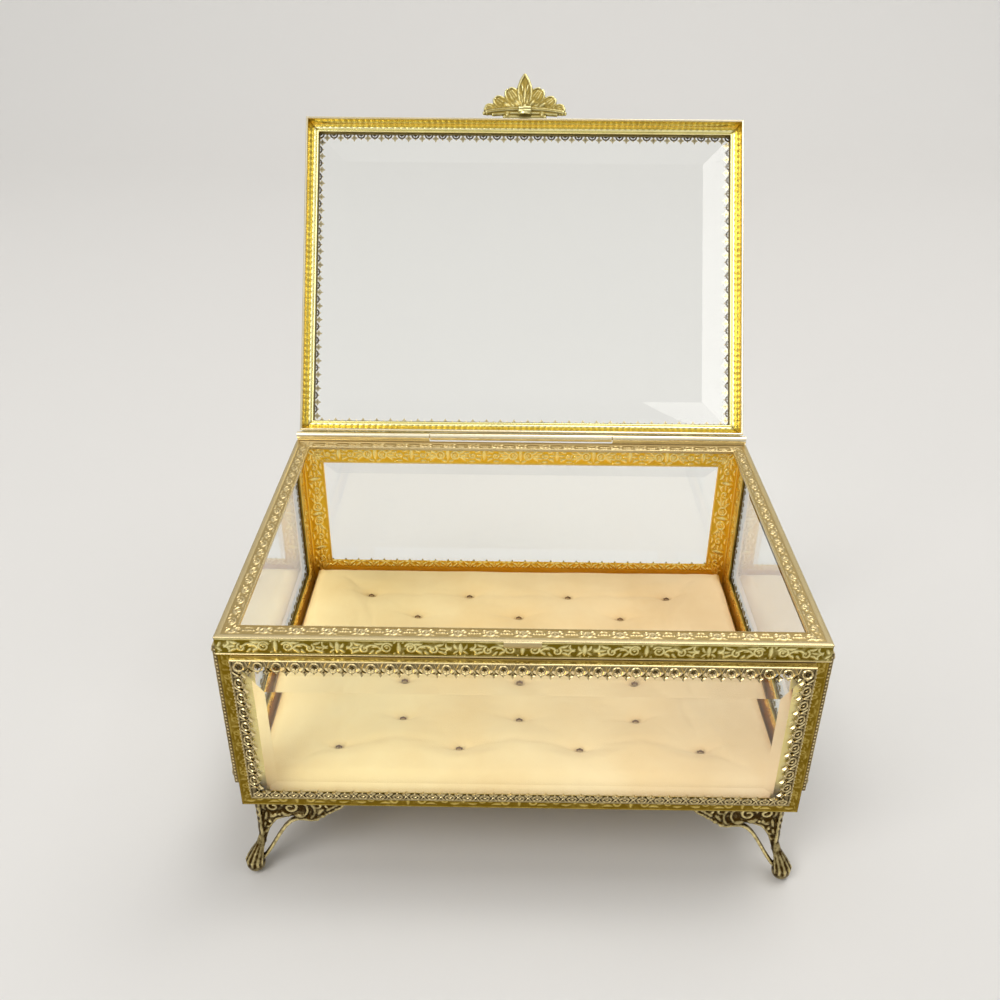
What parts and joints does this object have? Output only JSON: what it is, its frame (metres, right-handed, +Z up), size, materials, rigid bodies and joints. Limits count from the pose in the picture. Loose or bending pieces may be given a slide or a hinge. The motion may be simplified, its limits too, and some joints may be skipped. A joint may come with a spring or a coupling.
{
  "type": "glass casket box",
  "caption": "Gilt casket with bevelled glass sides and lid, lacy galleries, filigree corner feet, tufted velvet cushion and a filigree thumb lift; the hinged lid stands open.",
  "frame": {"origin": "under the middle of the open casket's bounding box, on the surface that the feet stand on", "axes": "+X to the right seen from the front, +Y to the rear where the hinge is, +Z up"},
  "size_m": [0.187, 0.2148, 0.2239],
  "materials": {
    "gilt": "embossed satin gilt",
    "pale_gilt": "pale polished gilt",
    "deep_gilt": "embossed bright gilt",
    "bevelled_glass": "clear, bevelled and polished",
    "velvet": "short velvet pile",
    "stitch_thread": "tightly wound thread",
    "cushion_board": "plain pressed board",
    "pin_metal": "drawn wire"
  },
  "bodies": {
    "casket": {"base_plate": "deep_gilt", "cushion_board": "cushion_board", "cushion": "velvet", "tuft_stitches": "stitch_thread", "frame_front": "gilt", "frame_rear": "gilt", "frame_left": "gilt", "frame_right": "gilt", "liner_front": "deep_gilt", "liner_rear": "deep_gilt", "liner_left": "deep_gilt", "liner_right": "deep_gilt", "pane_front": "bevelled_glass", "pane_rear": "bevelled_glass", "pane_left": "bevelled_glass", "pane_right": "bevelled_glass", "gallery_front": "pale_gilt", "gallery_rear": "pale_gilt", "gallery_left": "pale_gilt", "gallery_right": "pale_gilt", "rim_front": "pale_gilt", "rim_rear": "pale_gilt", "rim_left": "pale_gilt", "rim_right": "pale_gilt", "post_front_left": "deep_gilt", "post_front_right": "deep_gilt", "post_rear_left": "deep_gilt", "post_rear_right": "deep_gilt", "foot_front_left": "gilt", "foot_front_right": "gilt", "foot_rear_left": "gilt", "foot_rear_right": "gilt", "hinge_knuckle_left": "gilt", "hinge_knuckle_right": "gilt", "hinge_pin": "pin_metal", "front_catch": "gilt"},
    "lid": {"lid_rail_front": "gilt", "lid_rail_rear": "gilt", "lid_rail_left": "gilt", "lid_rail_right": "gilt", "lid_liner": "pale_gilt", "lid_pane": "bevelled_glass", "lid_gallery": "pale_gilt", "lid_knuckle": "gilt", "thumb_lift": "pale_gilt", "lid_catch": "gilt"}
  },
  "joints": [
    {"name": "lid_hinge", "type": "hinge", "parent": "casket", "child": "lid", "pos_m": [0, 0.02519, 0.09995], "axis": [1, 0, 0], "range_deg": [0, 122]}
  ]
}
